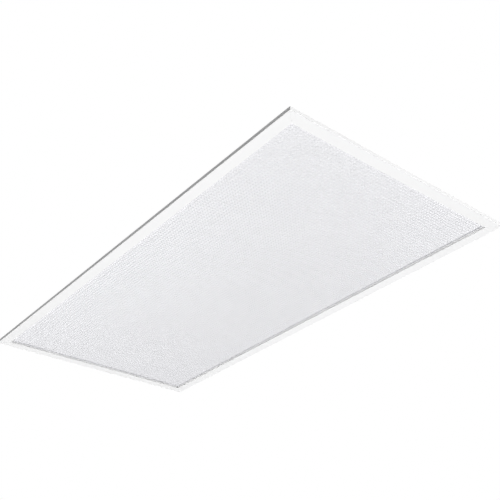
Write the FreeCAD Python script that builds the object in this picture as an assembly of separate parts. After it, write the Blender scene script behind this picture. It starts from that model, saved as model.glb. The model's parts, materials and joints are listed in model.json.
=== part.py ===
import FreeCAD, Part
import math
import os
from FreeCAD import Placement, Rotation, Vector

# Recessed troffer light, two feet by four feet, in millimetres.
# X runs along the long side, Y across, Z up. The origin is the middle of the flat underside that
# rests on the ceiling grid. Front is -Y, rear +Y, left -X, right +X.
# "Inset" is the distance inwards from the outer edge of the face.

# Face and trim
face_length = 1212.85
face_width = 603.25
sheet = 0.8
edge_height = 8.0
trim_width = 25.0
throat_height = 18.0
throat_flange = 10.2

# Housing above the trim
slope_inset = 74.0
housing_height = 76.0
joint_flange = 12.0

# Door: a slim frame set back behind the trim, hinged at the rear
door_gap = 0.4
door_wall = 0.8
door_ledge = 3.1
door_top_flange = 8.0
door_depth = 10.0
door_base = 2.9
hinge_offset = 2.5
hinge_pin_radius = 1.4
bush_radius = 3.0
bush_flange_radius = 4.4
running_clearance = 0.1

# Lens
lens_thickness = 3.1
lens_play = 0.4
retainer_width = 4.0

# Sliding latches on the front trim
latch_thickness = 1.0
latch_base = 1.5
latch_nose_width = 12.0
latch_nose_inset = 24.6
latch_body_width = 30.0
latch_body_insets = (6.0, 18.0)
latch_places = (-330.0, 330.0)
slide_slack = 0.3

# Swing-out clips that lock the light to the ceiling grid
clip_reach = 26.0
clip_width = 10.0
clip_thickness = 1.5
clip_post_inset = 12.0
clip_place = 190.0
clip_bore_radius = 2.6

# Driver box on top of the housing
box_length = 420.0
box_width = 110.0
box_height = 36.0
box_flange = 10.0
lid_gap = 0.4
lid_lip = 8.0
lid_knuckle_radius = 2.2
lid_pin_radius = 1.2
lid_pin_clearance = 0.08
pin_end = 1.0
knuckle_width = 24.0
box_knuckle_places = (-150.0, 0.0, 150.0)
lid_knuckle_places = (-175.0, -125.0, -25.0, 25.0, 125.0, 175.0)
entry_radius = 11.1
entry_height = 16.0
knockout_places = (-140.0, 140.0)
grommet_place = -185.0
grommet_bore = 5.0
grommet_core = 7.0
grommet_lip = 9.0

# Driver and supply terminals inside the box
driver_start = -150.0
driver_end = 120.0
driver_width = 40.0
driver_height = 25.0
driver_foot = 14.0
terminal_place = 165.0
terminal_length = 24.0
terminal_width = 30.0
terminal_height = 16.0
wire_pitch = 9.0

# Light boards under the top of the housing
board_rows = (-180.0, -60.0, 60.0, 180.0)
board_length = 496.0
board_width = 20.0
board_thickness = 1.3
board_split = 8.0
chips_per_board = 14
chip_size = 3.0
chip_height = 0.7
connector_height = 4.0
connector_length = 10.0
connector_depth = 6.0
board_hole_offset = 7.0

# Small hardware
rivet_radius = 1.6
rivet_head = 3.0
rivet_head_height = 1.0
screw_radius = 1.8
screw_head = 3.6
screw_head_height = 2.0
screw_point = 2.0
screw_tip_radius = 0.5
small_head = 2.6
small_head_height = 1.6
recess_width = 0.8
recess_depth = 1.0
foot_thickness = 1.2
wire_radius = 1.1
wire_bend = 6.0
lead_bend = 8.0
hanger_hole_radius = 3.25
hanger_rise = 10.0
hanger_sheet = 1.5
hanger_spacing_x = 940.0
hanger_spacing_y = 400.0

# Worked out from the above
half_x = face_length / 2
half_y = face_width / 2
door_edge = trim_width + door_gap
door_top = door_base + door_depth
lens_base = door_base + door_wall
lens_top = lens_base + lens_thickness
hinge_inset = door_edge + hinge_offset
hinge_height = door_base + hinge_offset
pan_top = housing_height + sheet
box_top = pan_top + box_height
lid_base = box_top + lid_gap
board_base = housing_height - board_thickness
wire_level = board_base - connector_height / 2
clip_base = edge_height + 0.6
lid_hinge_y = box_width / 2 + 2.4
lid_hinge_z = lid_base + sheet - lid_knuckle_radius
lid_screw_height = box_top - 5.0
knuckle_bore = lid_pin_radius + lid_pin_clearance
mitre_reach = 120.0
tall = 400.0
sides = ("front", "right", "rear", "left")


def block(x0, x1, y0, y1, z0, z1):
    corner = Vector(min(x0, x1), min(y0, y1), min(z0, z1))
    return Part.makeBox(abs(x1 - x0), abs(y1 - y0), abs(z1 - z0), corner)


def rod(radius, length, start, direction):
    return Part.makeCylinder(radius, length, Vector(*start), Vector(*direction))


# A slice of a ball: "radius" wide at its flat side, which stands at "start", and "height" tall.
def dome(radius, height, start, up):
    ball = (radius ** 2 + height ** 2) / (2 * height)
    centre = Vector(*start) + Vector(*up) * (height - ball)
    rim = math.degrees(math.asin((ball - height) / ball))
    return Part.makeSphere(ball, centre, Vector(*up), rim, 90, 360)


def save(name, *solids):
    shape = solids[0] if len(solids) == 1 else Part.makeCompound(list(solids))
    shape.exportStep("parts/" + name + ".step")


def joined(solids):
    return solids[0].fuse(solids[1:]).removeSplitter()


def polygon_face(points):
    return Part.Face(Part.makePolygon(points + points[:1]))


# A bar along one side of the rectangle. Its section is a list of (inset, height) points, and its
# ends are cut at 45 degrees, so that four bars close into a frame.
def side_half(side):
    return half_y if side in ("front", "rear") else half_x


def side_turn(side):
    return {"front": 0, "right": 90, "rear": 180, "left": 270}[side]


def turned(shape, side):
    shape.rotate(Vector(0, 0, 0), Vector(0, 0, 1), side_turn(side))
    return shape


def mitred_bar(section_face, side):
    reach = side_half(side)
    run = half_x if reach == half_y else half_y
    bar = section_face.copy()
    bar.translate(Vector(-run, -reach, 0))
    bar = bar.extrude(Vector(2 * run, 0, 0))
    plan = polygon_face([
        Vector(-run, -reach, -tall / 2),
        Vector(run, -reach, -tall / 2),
        Vector(run - mitre_reach, -reach + mitre_reach, -tall / 2),
        Vector(-run + mitre_reach, -reach + mitre_reach, -tall / 2),
    ])
    return turned(bar.common(plan.extrude(Vector(0, 0, tall))), side)


def section(points):
    return polygon_face([Vector(0, inset, height) for inset, height in points])


# Trim: a channel with a low outer edge, the white border seen from the room, and the throat wall
# that goes up past the door and turns outwards to carry the housing.
def trim_section():
    inner = trim_width
    ledge = trim_width - sheet - throat_flange
    return section([
        (0, 0),
        (inner, 0),
        (inner, throat_height),
        (ledge, throat_height),
        (ledge, throat_height - sheet),
        (inner - sheet, throat_height - sheet),
        (inner - sheet, sheet),
        (sheet, sheet),
        (sheet, edge_height),
        (0, edge_height),
    ])


def latch_slot(place):
    half = latch_nose_width / 2 + slide_slack
    low = latch_base - slide_slack
    high = latch_base + latch_thickness + slide_slack
    wall = -half_y + trim_width
    return block(place - half, place + half, wall - 2 * sheet, wall + sheet, low, high)


def hinge_centre(end):
    return end * (half_x - trim_width), half_y - hinge_inset, hinge_height


def bush_hole(end):
    x, y, z = hinge_centre(end)
    return rod(bush_radius, 4 * sheet, (x - 2 * sheet, y, z), (1, 0, 0))


def make_trim():
    for side in sides:
        rail = mitred_bar(trim_section(), side)
        if side == "front":
            for place in latch_places:
                rail = rail.cut(latch_slot(place))
        if side == "right":
            rail = rail.cut(bush_hole(1))
        if side == "left":
            rail = rail.cut(bush_hole(-1))
        save("trim_rail_" + side, rail)


# Corner plates lie in the trim channel and hold each mitre together.
def make_trim_corner_plates():
    arm = 60.0
    width = 16.0
    start = 4.0
    plates = []
    for sx in (-1, 1):
        for sy in (-1, 1):
            x0 = sx * (half_x - start)
            y0 = sy * (half_y - start)
            long_arm = block(x0, x0 - sx * arm, y0, y0 - sy * width, sheet, 2 * sheet)
            short_arm = block(x0, x0 - sx * width, y0, y0 - sy * arm, sheet, 2 * sheet)
            plates.append(joined([long_arm, short_arm]))
    save("trim_corner_plates", *plates)


# Housing walls slope in from the throat to the flat top.
def wall_section():
    low = throat_height
    high = housing_height
    foot = trim_width - sheet
    ledge = foot - throat_flange
    rise = sheet * 1.3
    return section([
        (ledge, low),
        (foot + sheet, low),
        (slope_inset + sheet, high - sheet),
        (slope_inset + joint_flange, high - sheet),
        (slope_inset + joint_flange, high),
        (slope_inset, high),
        (foot, low + rise),
        (foot - sheet, low + sheet),
        (ledge, low + sheet),
    ])


def make_walls():
    names = {"front": "side_wall_front", "rear": "side_wall_rear",
             "left": "end_wall_left", "right": "end_wall_right"}
    for side in sides:
        save(names[side], mitred_bar(wall_section(), side))


def hanger_places():
    x = hanger_spacing_x / 2
    y = hanger_spacing_y / 2
    return [(sx * x, sy * y) for sx in (-1, 1) for sy in (-1, 1)]


def make_top_pan():
    x = half_x - slope_inset
    y = half_y - slope_inset
    pan = block(-x, x, -y, y, housing_height, pan_top)
    hole = rod(grommet_core, sheet, (grommet_place, 0, housing_height), (0, 0, 1))
    save("top_pan", pan.cut(hole))


# A rivet closes two sheets from "low" to "high", with a domed head at both ends.
def rivet(x, y, low, high):
    shank = rod(rivet_radius, high - low, (x, y, low), (0, 0, 1))
    top = dome(rivet_head, rivet_head_height, (x, y, high), (0, 0, 1))
    bottom = dome(rivet_head, rivet_head_height, (x, y, low), (0, 0, -1))
    return joined([top, shank, bottom])


# A pointed sheet-metal screw with a low domed head and a cross recess. It is made upright, with
# the seat of its head at the origin, and turned so that the head faces "out". "grip" is the
# thickness of the sheets that it passes through.
def screw(seat, out, grip, head=screw_head, head_height=screw_head_height):
    rim = head_height / 2
    low = head_height - recess_depth
    reach = head * 0.6
    half = recess_width / 2
    made = joined([
        rod(screw_radius, grip, (0, 0, -grip), (0, 0, 1)),
        Part.makeCone(screw_radius, screw_tip_radius, screw_point, Vector(0, 0, -grip), Vector(0, 0, -1)),
        rod(head, rim, (0, 0, 0), (0, 0, 1)),
        dome(head, head_height - rim, (0, 0, rim), (0, 0, 1)),
    ])
    made = made.cut([
        block(-reach, reach, -half, half, low, head_height),
        block(-half, half, -reach, reach, low, head_height),
    ])
    made.Placement = Placement(Vector(*seat), Rotation(Vector(0, 0, 1), Vector(*out)))
    return made


def perimeter_places(inset, count_x, count_y, margin):
    places = []
    run_x = half_x - margin
    run_y = half_y - margin
    for i in range(count_x):
        x = -run_x + 2 * run_x * i / (count_x - 1)
        places += [(x, -half_y + inset), (x, half_y - inset)]
    for i in range(count_y):
        y = -run_y + 2 * run_y * i / (count_y - 1)
        places += [(-half_x + inset, y), (half_x - inset, y)]
    return places


# The rivets need holes in the sheets that they close, so the holes are cut here by name.
def cut_holes(names, places, radius, low, high):
    tools = [rod(radius, high - low, (x, y, low), (0, 0, 1)) for x, y in places]
    for name in names:
        path = "parts/" + name + ".step"
        solid = Part.read(path)
        near = [tool for tool in tools if tool.BoundBox.intersect(solid.BoundBox)]
        solid = solid.cut(near)
        if len(solid.Solids) == 1:
            solid = solid.Solids[0]
        solid.exportStep(path)


def make_rivets():
    wall_names = ["side_wall_front", "side_wall_rear", "end_wall_left", "end_wall_right"]
    trim_names = ["trim_rail_" + side for side in sides]
    foot = trim_width - sheet - throat_flange / 2
    low_places = perimeter_places(foot, 9, 5, 110.0)
    low = throat_height - sheet
    high = throat_height + sheet
    cut_holes(wall_names + trim_names, low_places, rivet_radius, low - 1, high + 1)
    save("wall_rivets", *[rivet(x, y, low, high) for x, y in low_places])
    top_places = perimeter_places(slope_inset + joint_flange / 2, 9, 5, 130.0)
    low = housing_height - sheet
    cut_holes(wall_names + ["top_pan"], top_places, rivet_radius, low - 1, pan_top + 1)
    save("pan_rivets", *[rivet(x, y, low, pan_top) for x, y in top_places])


# Hanger brackets: a foot riveted to the top of the housing, a riser, and a raised tab whose eye
# takes a support wire.
def make_hanger_brackets():
    width = 22.0
    tab = 12.0
    foot = 20.0
    tab_base = pan_top + hanger_rise
    brackets = []
    rivets = []
    for x, y in hanger_places():
        out = 1 if x > 0 else -1
        bend = x - out * tab
        end = bend - out * foot
        y0 = y - width / 2
        y1 = y + width / 2
        pieces = [
            block(x + out * tab, bend, y0, y1, tab_base, tab_base + hanger_sheet),
            block(bend, bend - out * hanger_sheet, y0, y1, pan_top, tab_base + hanger_sheet),
            block(bend, end, y0, y1, pan_top, pan_top + hanger_sheet),
        ]
        eye = rod(hanger_hole_radius, 2 * hanger_rise, (x, y, pan_top), (0, 0, 1))
        middle = (bend - out * hanger_sheet + end) / 2
        hole = rod(rivet_radius, hanger_rise, (middle, y, housing_height), (0, 0, 1))
        cut_holes(["top_pan"], [(middle, y)], rivet_radius, housing_height - 1, pan_top + 1)
        brackets.append(joined(pieces).cut([eye, hole]))
        rivets.append(rivet(middle, y, housing_height, pan_top + hanger_sheet))
    save("hanger_brackets", *brackets)
    save("hanger_rivets", *rivets)


# Grid clips: flat steel arms on shoulder posts that stand in the trim channel at both ends.
def clip_centres():
    x = half_x - clip_post_inset
    return {
        "front_left": (-x, -clip_place),
        "rear_left": (-x, clip_place),
        "front_right": (x, -clip_place),
        "rear_right": (x, clip_place),
    }


def make_clips():
    shoulder_radius = 4.2
    head_radius = 4.4
    head_height = 1.2
    gap = running_clearance
    half = clip_width / 2
    clip_top = clip_base + clip_thickness
    posts = []
    for name, (x, y) in clip_centres().items():
        inwards = 1 if y < 0 else -1
        tip = y + inwards * clip_reach
        arm = block(x - half, x + half, y, tip, clip_base, clip_top)
        boss = rod(half, clip_thickness, (x, y, clip_base), (0, 0, 1))
        bore = rod(clip_bore_radius, clip_thickness, (x, y, clip_base), (0, 0, 1))
        save("grid_clip_" + name, joined([arm, boss]).cut(bore))
        shank_radius = clip_bore_radius - running_clearance
        shoulder = rod(shoulder_radius, clip_base - gap - sheet, (x, y, sheet), (0, 0, 1))
        shank = rod(shank_radius, clip_thickness + 2 * gap, (x, y, clip_base - gap), (0, 0, 1))
        head = dome(head_radius, head_height, (x, y, clip_top + gap), (0, 0, 1))
        posts.append(joined([shoulder, shank, head]))
    save("clip_posts", *posts)


# Sliding latches: a flat bolt in the trim channel whose nose passes through a slot in the throat
# wall and under the door's ledge. It is drawn here in its open place.
def make_latches():
    guides = []
    names = ("left", "right")
    low = latch_base
    high = latch_base + latch_thickness
    start, end = (-half_y + inset for inset in latch_body_insets)
    tip = -half_y + latch_nose_inset
    for name, x in zip(names, latch_places):
        body = block(x - latch_body_width / 2, x + latch_body_width / 2, start, end, low, high)
        nose = block(x - latch_nose_width / 2, x + latch_nose_width / 2, end - 1, tip, low, high)
        save("slide_latch_" + name, joined([body, nose]))
        guides.append(latch_guide(x))
    save("latch_guides", *guides)


# Each guide is a pressed bridge over the bolt, with a foot at both ends on the trim.
def latch_guide(x):
    metal = 1.0
    foot_length = 8.0
    insets = (9.0, 20.0)
    y0, y1 = (-half_y + inset for inset in insets)
    inner = latch_body_width / 2 + slide_slack
    outer = inner + metal
    foot = outer + foot_length
    floor = latch_base - slide_slack
    roof = latch_base + latch_thickness + slide_slack
    pieces = [
        block(x - outer, x + outer, y0, y1, roof, roof + metal),
        block(x - outer, x + outer, y0, y1, sheet, floor),
    ]
    for s in (-1, 1):
        pieces.append(block(x + s * inner, x + s * outer, y0, y1, sheet, roof + metal))
        pieces.append(block(x + s * inner, x + s * foot, y0, y1, sheet, sheet + metal))
    return joined(pieces)


# Door frame: an extruded C section with a narrow ledge under the lens. The outer lower corner is
# round about the hinge axis, so that the rear edge turns without reaching the trim.
def door_section():
    e = door_edge
    r = hinge_offset
    low = door_base
    high = door_top
    t = door_wall
    mid = r * (1 - math.sqrt(0.5))
    straight = [
        (e + r, low),
        (e + door_ledge, low),
        (e + door_ledge, low + t),
        (e + t, low + t),
        (e + t, high - t),
        (e + door_top_flange, high - t),
        (e + door_top_flange, high),
        (e, high),
        (e, low + r),
    ]
    points = [Vector(0, inset, height) for inset, height in straight]
    edges = [Part.makeLine(a, b) for a, b in zip(points, points[1:])]
    edges.append(Part.Arc(points[-1], Vector(0, e + mid, low + mid), points[0]).toShape())
    return Part.Face(Part.Wire(edges))


def make_door_frame():
    for side in sides:
        rail = mitred_bar(door_section(), side)
        if side == "right":
            rail = rail.cut(hinge_pin(1))
        if side == "left":
            rail = rail.cut(hinge_pin(-1))
        save("door_rail_" + side, rail)


# Each hinge pin is fixed in the door's end rail and turns in a bush in the throat wall.
def hinge_pin(end):
    x, y, z = hinge_centre(end)
    inside = door_gap + door_wall
    outside = 3.4
    return rod(hinge_pin_radius, inside + outside, (x - end * inside, y, z), (end, 0, 0))


def hinge_bush(end):
    x, y, z = hinge_centre(end)
    body = rod(bush_radius, sheet, (x, y, z), (-end, 0, 0))
    body.translate(Vector(end * sheet, 0, 0))
    flange = rod(bush_flange_radius, sheet, (x + end * sheet, y, z), (end, 0, 0))
    bore = rod(hinge_pin_radius + running_clearance, 6 * sheet, (x - end * 2 * sheet, y, z), (end, 0, 0))
    return joined([body, flange]).cut(bore)


def make_hinge():
    save("hinge_pins", hinge_pin(-1), hinge_pin(1))
    save("hinge_bushes", hinge_bush(-1), hinge_bush(1))


# Corner keys fill the C section above the retainers at each door corner.
def make_door_keys():
    arm = 40.0
    width = 5.0
    inset = door_edge + door_wall
    low = door_top
    high = door_top + 1.2
    keys = []
    for sx in (-1, 1):
        for sy in (-1, 1):
            x0 = sx * (half_x - inset)
            y0 = sy * (half_y - inset)
            long_arm = block(x0, x0 - sx * arm, y0, y0 - sy * width, low, high)
            short_arm = block(x0, x0 - sx * width, y0, y0 - sy * arm, low, high)
            keys.append(joined([long_arm, short_arm]))
    save("door_corner_keys", *keys)


def make_lens():
    inset = door_edge + door_wall + lens_play
    x = half_x - inset
    y = half_y - inset
    save("prismatic_lens", block(-x, x, -y, y, lens_base, lens_top))


# Retainer strips wedge the lens down on the ledge, under the top flange of the frame.
def make_retainers():
    start = door_edge + door_wall
    shape = section([
        (start, lens_top),
        (start + retainer_width, lens_top),
        (start + retainer_width, door_top - door_wall),
        (start, door_top - door_wall),
    ])
    save("long_lens_retainers", mitred_bar(shape, "front"), mitred_bar(shape, "rear"))
    save("short_lens_retainers", mitred_bar(shape, "left"), mitred_bar(shape, "right"))


def knuckles(places):
    start = -knuckle_width / 2
    return [rod(lid_knuckle_radius, knuckle_width, (x + start, lid_hinge_y, lid_hinge_z), (1, 0, 0))
            for x in places]


# Driver box: four walls with outward feet, a wire entry at one end and hinge knuckles at the rear.
def make_driver_box():
    x = box_length / 2
    y = box_width / 2
    z = pan_top + entry_height
    foot = box_flange
    half = knuckle_width / 2
    through = 4 * sheet
    leaf_low = lid_hinge_z - lid_knuckle_radius
    leaf_high = lid_hinge_z - knuckle_bore - 0.25 * sheet
    notch_half = screw_radius + slide_slack
    notch_low = lid_screw_height - screw_radius - slide_slack
    outer = block(-x, x, -y, y, pan_top, box_top)
    inner = block(-x + sheet, x - sheet, -y + sheet, y - sheet, pan_top - 1, box_top + 1)
    feet = block(-x - foot, x + foot, -y - foot, y + foot, pan_top, pan_top + sheet)
    pieces = [outer, feet]
    pieces += knuckles(box_knuckle_places)
    for place in box_knuckle_places:
        leaf = block(place - half, place + half, y - sheet, lid_hinge_y, leaf_low, leaf_high)
        pieces.append(leaf)
    openings = [rod(knuckle_bore, 2 * x, (-x, lid_hinge_y, lid_hinge_z), (1, 0, 0))]
    openings += [rod(entry_radius, through, (s * x - through / 2, 0, z), (1, 0, 0)) for s in (-1, 1)]
    for place in knockout_places:
        openings.append(rod(entry_radius, through, (place, -y - through / 2, z), (0, 1, 0)))
    openings.append(block(-notch_half, notch_half, -y - sheet, -y + 2 * sheet, notch_low, box_top + 1))
    save("driver_box", joined(pieces).cut(inner).cut(openings))


# Knockout discs close every entry but the one at the right end.
def make_knockouts():
    x = box_length / 2
    y = box_width / 2
    z = pan_top + entry_height
    discs = [rod(entry_radius, sheet, (-x, 0, z), (1, 0, 0))]
    discs += [rod(entry_radius, sheet, (px, -y, z), (0, 1, 0)) for px in knockout_places]
    save("knockout_discs", *discs)


def make_lid():
    x = box_length / 2
    y = box_width / 2
    gap = lid_gap
    high = lid_base + sheet
    low = lid_base - lid_lip
    out_x = x + gap + sheet
    out_y = y + gap + sheet
    pieces = [
        block(-out_x, out_x, -out_y, y, lid_base, high),
        block(-out_x, out_x, -out_y, -out_y + sheet, low, high),
        block(-out_x, -out_x + sheet, -out_y, y - 2, low, high),
        block(out_x - sheet, out_x, -out_y, y - 2, low, high),
    ]
    half = knuckle_width / 2
    pieces += knuckles(lid_knuckle_places)
    for place in lid_knuckle_places:
        leaf = block(place - half, place + half, y - sheet, lid_hinge_y, lid_base + 0.05, high)
        pieces.append(leaf)
    lid = joined(pieces)
    lid = lid.cut(rod(knuckle_bore, 2 * x, (-x, lid_hinge_y, lid_hinge_z), (1, 0, 0)))
    lid = lid.cut(rod(screw_radius, 3 * sheet, (0, -out_y - sheet, lid_screw_height), (0, 1, 0)))
    save("driver_box_lid", lid)
    save("lid_screw", screw((0, -out_y, lid_screw_height), (0, -1, 0), 6 * sheet))
    length = 2 * (max(lid_knuckle_places) + half + pin_end)
    save("lid_hinge_pin", rod(lid_pin_radius, length, (-length / 2, lid_hinge_y, lid_hinge_z), (1, 0, 0)))


# The box is screwed down through the feet at its two ends.
def make_box_screws():
    x = (box_length + box_flange) / 2
    y = 30.0
    top = pan_top + sheet
    places = [(sx * x, sy * y) for sx in (-1, 1) for sy in (-1, 1)]
    cut_holes(["driver_box", "top_pan"], places, screw_radius, housing_height - 1, top + 1)
    save("box_screws", *[screw((px, py, top), (0, 0, 1), 2 * sheet) for px, py in places])


# Driver: a long closed case with a foot at each end.
def make_driver():
    y = driver_width / 2
    foot_y = y - 6.0
    screw_y = 8.0
    x0 = driver_start - driver_foot
    x1 = driver_end + driver_foot
    top = pan_top + foot_thickness
    case = block(driver_start, driver_end, -y, y, pan_top, pan_top + driver_height)
    feet = block(x0, x1, -foot_y, foot_y, pan_top, top)
    save("led_driver", joined([case, feet]))
    places = [(x0 + driver_foot / 2, screw_y), (x1 - driver_foot / 2, screw_y)]
    cut_holes(["led_driver", "top_pan"], places, screw_radius, housing_height - 1, top + 1)
    grip = foot_thickness + sheet
    save("driver_screws", *[screw((px, py, top), (0, 0, 1), grip) for px, py in places])


# Terminal block: one wire port for each way at its outer end, and a screw well above each port.
def make_terminal_block():
    half = terminal_length / 2
    y = terminal_width / 2
    x0 = terminal_place - half
    x1 = terminal_place + half
    port_radius = 1.9
    port_depth = 8.0
    well_radius = 2.6
    well_depth = 4.0
    top = pan_top + terminal_height
    cuts = []
    for way in (-1, 0, 1):
        place = way * wire_pitch
        port = (x1 - port_depth, place, pan_top + terminal_height / 2)
        cuts.append(rod(port_radius, port_depth, port, (1, 0, 0)))
        cuts.append(rod(well_radius, well_depth, (x1 - port_depth / 2, place, top), (0, 0, -1)))
    save("terminal_block", block(x0, x1, -y, y, pan_top, top).cut(cuts))


def make_ground_screw():
    x = terminal_place + 15.0
    y = 38.0
    cut_holes(["top_pan"], [(x, y)], screw_radius, housing_height - 1, pan_top + 1)
    save("ground_screw", screw((x, y, pan_top), (0, 0, 1), sheet))


# Grommet: a core in the hole of the housing's top, with a wider lip below and above the sheet.
def make_grommet():
    lip = 1.5 * sheet
    x = grommet_place
    core = rod(grommet_core, sheet, (x, 0, housing_height), (0, 0, 1))
    lower = rod(grommet_lip, lip, (x, 0, housing_height), (0, 0, -1))
    upper = rod(grommet_lip, lip, (x, 0, pan_top), (0, 0, 1))
    bore = rod(grommet_bore, sheet + 2 * lip, (x, 0, housing_height - lip), (0, 0, 1))
    save("wire_grommet", joined([core, lower, upper]).cut(bore))


# A wire is straight runs joined by round bends.
def wire(points, radius, bend):
    corners = [Vector(*p) for p in points]
    edges = []
    start = corners[0]
    for before, corner, after in zip(corners, corners[1:], corners[2:]):
        back = (before - corner).normalize()
        ahead = (after - corner).normalize()
        half_turn = (math.pi - back.getAngle(ahead)) / 2
        cut = bend * math.tan(half_turn)
        enter = corner + back * cut
        leave = corner + ahead * cut
        middle = (back + ahead).normalize()
        centre = corner + middle * (bend / math.cos(half_turn))
        edges.append(Part.makeLine(start, enter))
        edges.append(Part.Arc(enter, centre - middle * bend, leave).toShape())
        start = leave
    edges.append(Part.makeLine(start, corners[-1]))
    path = Part.Wire(edges)
    direction = corners[1] - corners[0]
    ring = Part.Wire([Part.Circle(corners[0], direction, radius).toShape()])
    return path.makePipeShell([ring], True, False)


# Supply leads run from the terminal block to the driver, one for each way but the ground.
def make_supply_leads():
    low = pan_top + terminal_height / 2
    high = low + 6.0
    side_step = 4.0
    x0 = terminal_place - terminal_length / 2
    x1 = driver_end
    leads = []
    for y in (-wire_pitch, 0.0):
        points = [
            (x0, y, low),
            (x0 - 14.0, y, low),
            (x1 + 12.0, y - side_step, high),
            (x1, y - side_step, high),
        ]
        leads.append(wire(points, wire_radius, lead_bend))
    save("supply_leads", *leads)


# Output wires leave the driver, go down through the grommet and run to the connectors of the
# inner boards. Jumpers run on from these to the connectors of the outer boards.
def make_output_wires():
    x = grommet_place
    high = pan_top + 14.0
    apart = 2.0
    inner = max(board_rows) / 3
    outer = max(board_rows)
    reach = board_width / 2
    wires = []
    for s in (-1, 1):
        points = [
            (driver_start, s * apart, high),
            (x, s * apart, high),
            (x, s * apart, wire_level),
            (x, s * (inner - reach), wire_level),
        ]
        wires.append(wire(points, wire_radius, wire_bend))
        jumper = outer - inner - 2 * reach
        wires.append(rod(wire_radius, jumper, (x, s * (inner + reach), wire_level), (0, s, 0)))
    save("output_wires", *wires)


# Light boards, two to a row, with a row of chips on each board. The boards at the left carry the
# wire connectors: the inner ones have one at both edges, and the outer ones at the inner edge.
def make_connectors():
    half = connector_length / 2
    x = grommet_place
    connectors = []
    for y in board_rows:
        inwards = -1 if y > 0 else 1
        edges = [inwards]
        if abs(y) < max(board_rows):
            edges.append(-inwards)
        for edge in edges:
            y1 = y + edge * board_width / 2
            y0 = y1 - edge * connector_depth
            connectors.append(block(x - half, x + half, y0, y1, board_base - connector_height, board_base))
    save("board_connectors", *connectors)


def make_boards():
    pitch = board_length / chips_per_board
    half_chip = chip_size / 2
    half_width = board_width / 2
    chip_base = board_base - chip_height
    end_margin = 10.0
    number = 1
    chips = []
    screws = []
    for y in board_rows:
        hole_y = y + math.copysign(board_hole_offset, y)
        for side in (-1, 1):
            x0 = side * board_split / 2
            x1 = x0 + side * board_length
            for i in range(chips_per_board):
                x = x0 + side * pitch * (i + 0.5)
                chips.append(block(x - half_chip, x + half_chip, y - half_chip, y + half_chip,
                                   chip_base, board_base))
            board = block(x0, x1, y - half_width, y + half_width, board_base, housing_height)
            name = "light_board_" + str(number)
            save(name, board)
            places = [(x0 + side * end_margin, hole_y), (x1 - side * end_margin, hole_y)]
            cut_holes([name, "top_pan"], places, screw_radius, board_base - 1, pan_top + 1)
            for px, py in places:
                grip = board_thickness + sheet
                screws.append(screw((px, py, board_base), (0, 0, -1), grip, small_head, small_head_height))
            number += 1
    save("light_chips", *chips)
    save("board_screws", *screws)


def main():
    os.makedirs("parts", exist_ok=True)
    make_trim()
    make_trim_corner_plates()
    make_walls()
    make_top_pan()
    make_rivets()
    make_hanger_brackets()
    make_clips()
    make_latches()
    make_door_frame()
    make_hinge()
    make_door_keys()
    make_lens()
    make_retainers()
    make_driver_box()
    make_knockouts()
    make_lid()
    make_box_screws()
    make_driver()
    make_terminal_block()
    make_ground_screw()
    make_grommet()
    make_supply_leads()
    make_output_wires()
    make_connectors()
    make_boards()


main()
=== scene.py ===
import json
import math

import bmesh
import bpy
import numpy as np
from mathutils import Matrix, Vector


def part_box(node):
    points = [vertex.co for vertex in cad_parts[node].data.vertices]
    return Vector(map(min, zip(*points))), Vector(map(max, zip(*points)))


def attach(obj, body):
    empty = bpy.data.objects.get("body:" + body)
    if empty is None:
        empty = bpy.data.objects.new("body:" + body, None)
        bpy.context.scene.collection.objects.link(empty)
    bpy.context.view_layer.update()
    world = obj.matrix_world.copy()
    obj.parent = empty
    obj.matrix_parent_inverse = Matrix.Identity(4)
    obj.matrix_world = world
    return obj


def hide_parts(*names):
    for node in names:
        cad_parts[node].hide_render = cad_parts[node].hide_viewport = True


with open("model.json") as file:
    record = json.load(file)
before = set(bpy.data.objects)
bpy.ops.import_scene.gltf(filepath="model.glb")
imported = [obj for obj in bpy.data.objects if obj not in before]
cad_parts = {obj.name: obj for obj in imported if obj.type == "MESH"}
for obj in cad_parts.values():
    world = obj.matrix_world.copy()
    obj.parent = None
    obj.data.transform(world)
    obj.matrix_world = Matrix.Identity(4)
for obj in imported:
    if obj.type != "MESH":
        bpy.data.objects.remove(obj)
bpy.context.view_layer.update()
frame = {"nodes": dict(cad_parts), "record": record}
scene = bpy.context.scene
mm = 0.001


# A wrapped socket, so that shader arithmetic reads as arithmetic.
class Sock:
    def __init__(self, tree, socket):
        self.tree = tree
        self.socket = socket

    def math(self, operation, *others, clamp=False):
        node = self.tree.nodes.new("ShaderNodeMath")
        node.operation = operation
        node.use_clamp = clamp
        for slot, value in zip(node.inputs, (self, *others)):
            link(self.tree, slot, value)
        return Sock(self.tree, node.outputs[0])

    def __add__(self, other):
        return self.math("ADD", other)

    def __mul__(self, other):
        return self.math("MULTIPLY", other)

    def __sub__(self, other):
        return self.math("SUBTRACT", other)

    def __truediv__(self, other):
        return self.math("DIVIDE", other)

    def __rsub__(self, other):
        return self * -1.0 + other

    __radd__ = __add__
    __rmul__ = __mul__

    def above(self, level, soft):
        return ((self - level) / soft).math("ADD", 0.5, clamp=True)

    def below(self, level, soft):
        return ((level - self) / soft).math("ADD", 0.5, clamp=True)


def link(tree, slot, value):
    if isinstance(value, Sock):
        tree.links.new(value.socket, slot)
    elif isinstance(value, (tuple, list)) and len(value) == 3 and slot.type == "RGBA":
        slot.default_value = (*value, 1.0)
    else:
        slot.default_value = value


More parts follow.
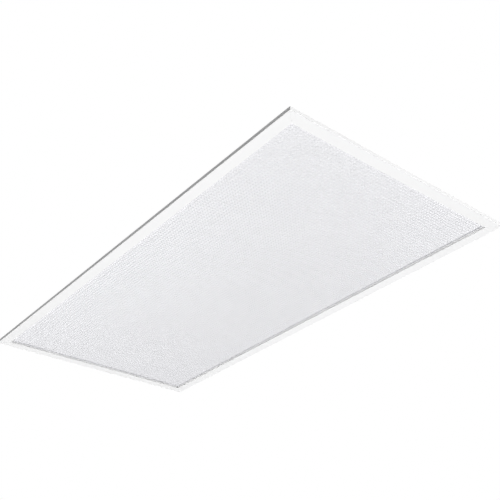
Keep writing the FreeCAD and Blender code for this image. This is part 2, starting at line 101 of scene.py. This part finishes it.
# The nodes of one material.
class Shader:
    def __init__(self, name):
        self.material = bpy.data.materials.new(name)
        self.material.use_nodes = True
        self.tree = self.material.node_tree
        self.tree.nodes.clear()

    def node(self, kind, out=0, **inputs):
        made = self.tree.nodes.new("ShaderNode" + kind)
        for key, value in inputs.items():
            link(self.tree, made.inputs[key.replace("_", " ")], value)
        return Sock(self.tree, made.outputs[out])

    def place(self):
        return self.node("TexCoord", out="Object")

    def stretched(self, x, y, z):
        return self.node("Mapping", Vector=self.place(), Scale=Vector((x, y, z)))

    def axis(self, letter):
        return self.node("SeparateXYZ", out=letter, Vector=self.place())

    def noise(self, scale, detail=3.0, vector=None):
        return self.node("TexNoise", Vector=vector or self.place(), Scale=scale, Detail=detail)

    def mix(self, low, high, factor):
        made = self.tree.nodes.new("ShaderNodeMix")
        made.data_type = "RGBA"
        for index, value in ((0, factor), (6, low), (7, high)):
            link(self.tree, made.inputs[index], value)
        return Sock(self.tree, made.outputs[2])

    def bump(self, height, strength, distance):
        return self.node("Bump", Height=height, Strength=strength, Distance=distance)

    def blend(self, factor, first, second):
        made = self.tree.nodes.new("ShaderNodeMixShader")
        for slot, value in zip(made.inputs, (factor, first, second)):
            link(self.tree, slot, value)
        return Sock(self.tree, made.outputs[0])

    def surface(self, shader):
        end = self.tree.nodes.new("ShaderNodeOutputMaterial")
        link(self.tree, end.inputs["Surface"], shader)
        return self.material

    def finish(self, **inputs):
        return self.surface(self.node("BsdfPrincipled", **inputs))


# Noise scales below are in repeats per metre, and "uneven" is how far the roughness wanders.
# Baked white paint: faint cloudiness, and a fine orange peel in the gloss.
paint = dict(colour=(0.87, 0.87, 0.87), shade=(0.84, 0.84, 0.845), roughness=0.42, uneven=0.08,
             clouds=6.0, patches=40.0, grain=900.0, peel=0.03 * mm, peelStrength=0.25)

# Powder coat on the door has a tighter grain, and the driver's case a coarser, duller paint.
powder = dict(paint, shade=(0.85, 0.85, 0.855), roughness=0.48, grain=2200.0)
casePaint = dict(paint, colour=(0.80, 0.80, 0.79), shade=(0.76, 0.76, 0.755), roughness=0.5, grain=700.0)


def whitePaint(name, coat):
    s = Shader(name)
    base = s.mix(coat["shade"], coat["colour"], s.noise(coat["clouds"], detail=4.0))
    rough = coat["roughness"] + coat["uneven"] * (s.noise(coat["patches"]) - 0.5)
    normal = s.bump(s.noise(coat["grain"], detail=2.0), coat["peelStrength"], coat["peel"])
    return s.finish(Base_Color=base, Roughness=rough, Normal=normal)


# Bright zinc plate: a blue cast in places and fine rolling lines, drawn out along the long side.
zinc = dict(colour=(0.63, 0.64, 0.66), tint=(0.55, 0.58, 0.62), roughness=0.3, uneven=0.18,
            clouds=90.0, lines=60.0, drawn=14.0, lineDepth=0.02 * mm, lineStrength=0.15)


def zincPlate():
    s = Shader("zinc_plate")
    base = s.mix(zinc["tint"], zinc["colour"], s.noise(zinc["clouds"], detail=4.0))
    lines = s.noise(zinc["lines"], vector=s.stretched(1.0, zinc["drawn"], zinc["drawn"]))
    rough = zinc["roughness"] + zinc["uneven"] * (lines - 0.5)
    normal = s.bump(lines, zinc["lineStrength"], zinc["lineDepth"])
    return s.finish(Base_Color=base, Metallic=1.0, Roughness=rough, Normal=normal)


# Galvanised sheet: crystals of differing brightness, about 8 mm across.
spangle = dict(low=(0.38, 0.395, 0.41), high=(0.52, 0.53, 0.54), size=8 * mm, crystalShare=0.6,
               patches=25.0, roughness=0.34, uneven=0.14, grain=400.0, depth=0.02 * mm, strength=0.1)


def galvanised():
    s = Shader("galvanised_sheet")
    cells = s.node("TexVoronoi", out="Color", Vector=s.place(), Scale=1 / spangle["size"])
    tone = s.node("SeparateColor", out="Red", Color=cells)
    share = spangle["crystalShare"]
    blotch = s.noise(spangle["patches"], detail=4.0)
    base = s.mix(spangle["low"], spangle["high"], share * tone + (1 - share) * blotch)
    rough = spangle["roughness"] + spangle["uneven"] * tone
    normal = s.bump(s.noise(spangle["grain"], detail=2.0), spangle["strength"], spangle["depth"])
    return s.finish(Base_Color=base, Metallic=1.0, Roughness=rough, Normal=normal)


# Moulded and extruded plastics: a slight mottle and a fine moulded grain.
moulded = dict(mottle=30.0, patches=120.0, uneven=0.1, grain=1200.0, depth=0.02 * mm, strength=0.3)
plastics = dict(
    soft_vinyl=dict(colour=(0.80, 0.80, 0.79), shade=(0.76, 0.76, 0.75), roughness=0.55),
    connector_nylon=dict(colour=(0.78, 0.77, 0.72), shade=(0.73, 0.72, 0.67), roughness=0.5),
    terminal_plastic=dict(colour=(0.52, 0.54, 0.56), shade=(0.46, 0.48, 0.50), roughness=0.45),
    black_nylon=dict(colour=(0.035, 0.035, 0.037), shade=(0.02, 0.02, 0.022), roughness=0.5),
)


def plastic(name):
    s = Shader(name)
    resin = plastics[name]
    base = s.mix(resin["shade"], resin["colour"], s.noise(moulded["mottle"], detail=4.0))
    rough = resin["roughness"] + moulded["uneven"] * (s.noise(moulded["patches"]) - 0.5)
    normal = s.bump(s.noise(moulded["grain"], detail=2.0), moulded["strength"], moulded["depth"])
    return s.finish(Base_Color=base, Roughness=rough, Normal=normal)


# The light boards lie in rows 120 mm apart and start 4 mm off the middle. Along a board each step of
# 35.43 mm has a chip in its middle.
rows = dict(apart=120 * mm, start=4 * mm, pitch=496 * mm / 14)


# Signed distance along the board to the chip, and across it to the board's middle line.
def alongBoard(s):
    steps = (s.axis("X").math("ABSOLUTE") - rows["start"]) / rows["pitch"]
    return (steps.math("FRACT") - 0.5) * rows["pitch"]


def acrossBoard(s):
    return ((s.axis("Y") / rows["apart"]).math("FRACT") - 0.5) * rows["apart"]


# White solder mask over copper tracks, which show as low ridges, with bare tinned pads.
mask = dict(colour=(0.88, 0.88, 0.86), track=(0.83, 0.84, 0.82), pad=(0.72, 0.72, 0.70),
            roughness=0.38, padGloss=0.1, uneven=0.06, patches=60.0, grain=700.0, grainShare=0.2,
            rise=0.05 * mm, strength=0.5)
tracks = dict(inner=2.2 * mm, outer=6.2 * mm, gap=16.6 * mm, edge=0.2 * mm,
              padAcross=2.0 * mm, padAlong=2.6 * mm, padEdge=0.1 * mm)


def boardMask():
    s = Shader("board_mask")
    across = acrossBoard(s).math("ABSOLUTE")
    along = alongBoard(s).math("ABSOLUTE")
    edge, padEdge = tracks["edge"], tracks["padEdge"]
    track = across.above(tracks["inner"], edge) * across.below(tracks["outer"], edge)
    copper = track * (1.0 - along.above(tracks["gap"], edge))
    pad = across.below(tracks["padAcross"], padEdge) * along.below(tracks["padAlong"], padEdge)
    base = s.mix(s.mix(mask["colour"], mask["track"], copper), mask["pad"], pad)
    rough = mask["roughness"] - mask["padGloss"] * pad + mask["uneven"] * s.noise(mask["patches"])
    ridges = copper + mask["grainShare"] * s.noise(mask["grain"])
    normal = s.bump(ridges, mask["strength"], mask["rise"])
    return s.finish(Base_Color=base, Roughness=rough, Normal=normal)


# Each chip is a white body with a round window of yellow phosphor.
chip = dict(body=(0.85, 0.85, 0.83), phosphor=(0.86, 0.68, 0.16), window=1.15 * mm,
            windowEdge=0.08 * mm, speckle=0.1, grain=2000.0, roughness=0.35, windowGloss=0.15,
            hollow=-0.08 * mm, strength=0.4)


def chipFace():
    s = Shader("chip_phosphor")
    away = (alongBoard(s) * alongBoard(s) + acrossBoard(s) * acrossBoard(s)).math("SQRT")
    window = away.below(chip["window"], chip["windowEdge"])
    speckled = window * (1.0 - chip["speckle"] + chip["speckle"] * s.noise(chip["grain"]))
    base = s.mix(chip["body"], chip["phosphor"], speckled)
    rough = chip["roughness"] - chip["windowGloss"] * window
    normal = s.bump(window, chip["strength"], chip["hollow"])
    return s.finish(Base_Color=base, Roughness=rough, Normal=normal)


# Wire insulation: faint cloudiness and a soft waviness in its skin, the waves spread on all axes.
skin = dict(clouds=50.0, waves=900.0, spread=0.2, patches=90.0, roughness=0.32, uneven=0.1,
            depth=0.02 * mm, strength=0.2)
wires = dict(
    red_insulation=dict(colour=(0.60, 0.05, 0.04), shade=(0.48, 0.04, 0.03)),
    black_insulation=dict(colour=(0.03, 0.03, 0.03), shade=(0.02, 0.02, 0.02)),
)


def insulation(name):
    s = Shader(name)
    base = s.mix(wires[name]["shade"], wires[name]["colour"], s.noise(skin["clouds"]))
    spread = s.stretched(skin["spread"], skin["spread"], skin["spread"])
    waves = s.noise(skin["waves"], detail=1.0, vector=spread)
    normal = s.bump(waves, skin["strength"], skin["depth"])
    rough = skin["roughness"] + skin["uneven"] * s.noise(skin["patches"])
    return s.finish(Base_Color=base, Roughness=rough, Normal=normal)


# Green dyed zinc on the ground screw.
dye = dict(colour=(0.08, 0.36, 0.15), shade=(0.04, 0.26, 0.10), clouds=300.0, patches=500.0, metal=0.6,
           roughness=0.3, uneven=0.15)


def dyedZinc():
    s = Shader("green_zinc")
    base = s.mix(dye["shade"], dye["colour"], s.noise(dye["clouds"]))
    rough = dye["roughness"] + dye["uneven"] * s.noise(dye["patches"])
    return s.finish(Base_Color=base, Metallic=dye["metal"], Roughness=rough)


# Lens acrylic: milky white under a clear gloss.
acrylic = dict(colour=(0.69, 0.69, 0.71), shade=(0.665, 0.665, 0.69), roughness=0.35, ior=1.6, gloss=0.3,
               clouds=5.0)


def lensAcrylic():
    s = Shader("prismatic_acrylic")
    base = s.mix(acrylic["shade"], acrylic["colour"], s.noise(acrylic["clouds"]))
    return s.finish(Base_Color=base, Roughness=acrylic["roughness"], IOR=acrylic["ior"], Coat_Weight=1.0,
                    Coat_IOR=acrylic["ior"], Coat_Roughness=acrylic["gloss"])


materials = {
    "white_steel": whitePaint("white_paint", paint),
    "door_white": whitePaint("door_powder", powder),
    "lens_acrylic": lensAcrylic(),
    "vinyl": plastic("soft_vinyl"),
    "zinc_steel": zincPlate(),
    "galvanised": galvanised(),
    "board_white": boardMask(),
    "chip_yellow": chipFace(),
    "connector_white": plastic("connector_nylon"),
    "driver_case": whitePaint("driver_paint", casePaint),
    "nylon_black": plastic("black_nylon"),
    "terminal_grey": plastic("terminal_plastic"),
    "wire_red": insulation("red_insulation"),
    "wire_black": insulation("black_insulation"),
    "ground_green": dyedZinc(),
}
slotOf = {part["node"]: part["material_slot"] for part in frame["record"]["subparts"]}
for name, node in frame["nodes"].items():
    for slot in node.material_slots:
        slot.material = materials[slotOf[name]]
bodies = frame["record"]["behaviour"]["bodies"]
bodyOf = {node: body for body, members in bodies.items() for node in members}
print("materials ready")


# A piece made from points and faces that stands for a CAD node and moves with its body.
def addPiece(name, node, mesh):
    piece = bpy.data.objects.new(name, mesh)
    scene.collection.objects.link(piece)
    mesh.materials.append(materials[slotOf[node]])
    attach(piece, bodyOf[node])
    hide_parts(node)
    return piece


# Pressed, drawn and moulded parts get rounded edges. The radius of each is in millimetres.
edges = dict(
    trim_rail_front=0.3, trim_rail_rear=0.3, trim_rail_left=0.3, trim_rail_right=0.3,
    side_wall_front=0.25, side_wall_rear=0.25, end_wall_left=0.25, end_wall_right=0.25,
    door_rail_front=0.25, door_rail_rear=0.25, door_rail_left=0.25, door_rail_right=0.25,
    top_pan=0.25, driver_box=0.25, driver_box_lid=0.25, led_driver=0.5, hanger_brackets=0.4,
    slide_latch_left=0.3, slide_latch_right=0.3, latch_guides=0.25,
    grid_clip_front_left=0.3, grid_clip_front_right=0.3,
    grid_clip_rear_left=0.3, grid_clip_rear_right=0.3,
    terminal_block=0.5, board_connectors=0.4, long_lens_retainers=0.4, short_lens_retainers=0.4,
)
# Edges shorter than "shortest" belong to holes and stay crisp. Points nearer than "weld" are joined,
# faces that turn less than "flat" are merged, and shading breaks at "crease".
edgeStyle = dict(segments=2, shortest=2.5 * mm, sharp=math.radians(30), weld=0.001 * mm,
                 flat=math.radians(0.5), crease=math.radians(50), profile=0.5)


def softened(node, radius):
    mesh = frame["nodes"][node].data.copy()
    mesh.materials.clear()
    bm = bmesh.new()
    bm.from_mesh(mesh)
    bmesh.ops.remove_doubles(bm, verts=bm.verts, dist=edgeStyle["weld"])
    bmesh.ops.dissolve_limit(bm, angle_limit=edgeStyle["flat"], verts=bm.verts, edges=bm.edges)
    corners = [e for e in bm.edges if e.is_manifold and e.calc_face_angle() > edgeStyle["sharp"]
               and e.calc_length() > edgeStyle["shortest"]]
    bmesh.ops.bevel(bm, geom=corners, offset=radius, segments=edgeStyle["segments"],
                    profile=edgeStyle["profile"], affect="EDGES", clamp_overlap=False)
    for face in bm.faces:
        face.smooth = True
    bm.to_mesh(mesh)
    bm.free()
    mesh.set_sharp_from_angle(angle=edgeStyle["crease"])
    piece = addPiece(node + "_formed", node, mesh)
    weighted = piece.modifiers.new("even_faces", "WEIGHTED_NORMAL")
    weighted.keep_sharp = True


for node, radius in edges.items():
    softened(node, radius * mm)
print("formed parts ready")


# Prismatic lens: square pyramids that point down, inside a flat rim that lies on the door's ledge.
# The corners of each square lie in the valley plane, and its middle is a peak on the lowest plane.
lens = dict(pitch=7.66 * mm, depth=1.7 * mm, rim=2.1 * mm)


def lensMesh():
    (x0, y0, z0), (x1, y1, z1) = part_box("prismatic_lens")
    inset = lens["rim"]
    across = round((x1 - x0 - 2 * inset) / lens["pitch"])
    up = round((y1 - y0 - 2 * inset) / lens["pitch"])
    xs = np.linspace(x0 + inset, x1 - inset, across + 1)
    ys = np.linspace(y0 + inset, y1 - inset, up + 1)
    valley = z0 + lens["depth"]
    cornerX, cornerY = np.meshgrid(xs, ys)
    peakX, peakY = np.meshgrid((xs[1:] + xs[:-1]) / 2, (ys[1:] + ys[:-1]) / 2)
    corners = np.stack([cornerX.ravel(), cornerY.ravel(), np.full(cornerX.size, valley)], 1)
    peaks = np.stack([peakX.ravel(), peakY.ravel(), np.full(peakX.size, z0)], 1)
    # The rim's points are three rings of four: the outer one, the back's, and the inner one.
    rings = ((0, z0), (0, z1), (inset, z0))
    rim = np.array([(x, y, z) for gap, z in rings
                    for x, y in ((x0 + gap, y0 + gap), (x1 - gap, y0 + gap),
                                 (x1 - gap, y1 - gap), (x0 + gap, y1 - gap))])
    # Four triangles go from the sides of each square to its peak.
    wide = across + 1
    i, j = np.meshgrid(np.arange(across), np.arange(up))
    a = (j * wide + i).ravel()
    b, c, d = a + 1, a + wide + 1, a + wide
    p = len(corners) + np.arange(across * up)
    triangles = ((b, a, p), (c, b, p), (d, c, p), (a, d, p))
    faces = np.concatenate([np.stack(t, 1) for t in triangles]).tolist()
    # On each side: the flat rim, its wall up to the prisms, and the edge of the sheet. Then the back.
    outer = len(corners) + len(peaks)
    back, inner = outer + 4, outer + 8
    last = up * wide
    sides = [list(range(wide)), [k * wide + across for k in range(up + 1)],
             list(range(last + across, last - 1, -1)), [k * wide for k in range(up, -1, -1)]]
    for k, row in enumerate(sides):
        n = (k + 1) % 4
        faces.append([outer + n, outer + k, inner + k, inner + n])
        faces.append([inner + n, inner + k] + row)
        faces.append([outer + k, outer + n, back + n, back + k])
    faces.append([back, back + 1, back + 2, back + 3])
    mesh = bpy.data.meshes.new("lens_sheet")
    mesh.from_pydata(np.concatenate([corners, peaks, rim]).tolist(), [], faces)
    mesh.validate()
    return mesh


addPiece("lens_sheet", "prismatic_lens", lensMesh())
print("lens ready")


# Studio: camera, plain floor, white backdrop and soft light.
# The camera's angles are in degrees, its focus and the photo's width in pixels, its sensor in mm.
view = dict(yaw=140.88, pitch=31.36, roll=-0.61, place=(1.3796, -1.0236, -0.9275), focus=798.96,
            photo=500, sensor=36.0)
floor = dict(height=-3.7, half=60.0, colour=(0.80, 0.80, 0.80), shade=(0.78, 0.78, 0.78), white=0.92,
             roughness=0.7, clouds=1.0)
backdrop = dict(soft=0.15, white=1.0)
lamps = dict(
    from_below=dict(place=(0.35, -0.25, -3.6), target=(0.35, -0.25, 0), size=4.6, power=151.0),
    from_right=dict(place=(3.0, 0.4, 0.6), target=(0, 0, 0), size=1.5, power=54.0),
    from_above=dict(place=(-0.6, 0.1, 3.2), target=(-0.1, 0, 0), size=2.8, power=60.0),
)


def makeCamera():
    yaw, pitch, roll = (math.radians(view[k]) for k in ("yaw", "pitch", "roll"))
    level = math.cos(pitch)
    ahead = Vector((math.cos(yaw) * level, math.sin(yaw) * level, math.sin(pitch)))
    right = Vector((math.sin(yaw), -math.cos(yaw), 0))
    above = right.cross(ahead)
    turnedRight = right * math.cos(roll) + above * math.sin(roll)
    turnedUp = above * math.cos(roll) - right * math.sin(roll)
    data = bpy.data.cameras.new("camera")
    data.sensor_width = view["sensor"]
    data.lens = view["focus"] / view["photo"] * data.sensor_width
    camera = bpy.data.objects.new("camera", data)
    axes = Matrix((turnedRight, turnedUp, -ahead)).transposed().to_4x4()
    camera.matrix_world = Matrix.Translation(view["place"]) @ axes
    scene.collection.objects.link(camera)
    scene.camera = camera


# One where a ray comes straight from the camera, a reflection or a clear part, and nought elsewhere.
def seenDirectly(tree):
    path = tree.nodes.new("ShaderNodeLightPath")
    seen = Sock(tree, path.outputs["Is Camera Ray"])
    for kind in ("Is Glossy Ray", "Is Transmission Ray"):
        seen = seen.math("MAXIMUM", Sock(tree, path.outputs[kind]))
    return seen


# The floor is nearly white where it is seen, and keeps a shadow.
def makeFloor():
    mesh = bpy.data.meshes.new("floor")
    r, z = floor["half"], floor["height"]
    mesh.from_pydata([(-r, -r, z), (r, -r, z), (r, r, z), (-r, r, z)], [], [(0, 1, 2, 3)])
    plane = bpy.data.objects.new("floor", mesh)
    scene.collection.objects.link(plane)
    s = Shader("floor_plain")
    base = s.mix(floor["shade"], floor["colour"], s.noise(floor["clouds"]))
    plain = s.node("BsdfPrincipled", Base_Color=base, Roughness=floor["roughness"])
    seen = seenDirectly(s.tree) * floor["white"]
    mesh.materials.append(s.surface(s.blend(seen, plain, s.node("Emission"))))


def makeLight(name, place, target, size, power):
    data = bpy.data.lights.new(name, "AREA")
    data.shape = "DISK"
    data.size = size
    data.energy = power
    lamp = bpy.data.objects.new(name, data)
    lamp.location = place
    lamp.rotation_mode = "QUATERNION"
    lamp.rotation_quaternion = (Vector(target) - Vector(place)).to_track_quat("-Z", "Y")
    lamp.visible_camera = False
    scene.collection.objects.link(lamp)


# The world is white to the camera and in reflections, and softer as a light.
def makeWorld():
    world = bpy.data.worlds.new("studio")
    scene.world = world
    world.use_nodes = True
    tree = world.node_tree
    tree.nodes.clear()
    mix = tree.nodes.new("ShaderNodeMixShader")
    link(tree, mix.inputs[0], seenDirectly(tree))
    for index, strength in ((1, backdrop["soft"]), (2, backdrop["white"])):
        light = tree.nodes.new("ShaderNodeBackground")
        light.inputs["Color"].default_value = (1, 1, 1, 1)
        light.inputs["Strength"].default_value = strength
        tree.links.new(light.outputs[0], mix.inputs[index])
    end = tree.nodes.new("ShaderNodeOutputWorld")
    tree.links.new(mix.outputs[0], end.inputs["Surface"])


scene.view_settings.view_transform = "Standard"
makeCamera()
makeFloor()
makeWorld()
for name, values in lamps.items():
    makeLight(name, **values)
print("studio ready")
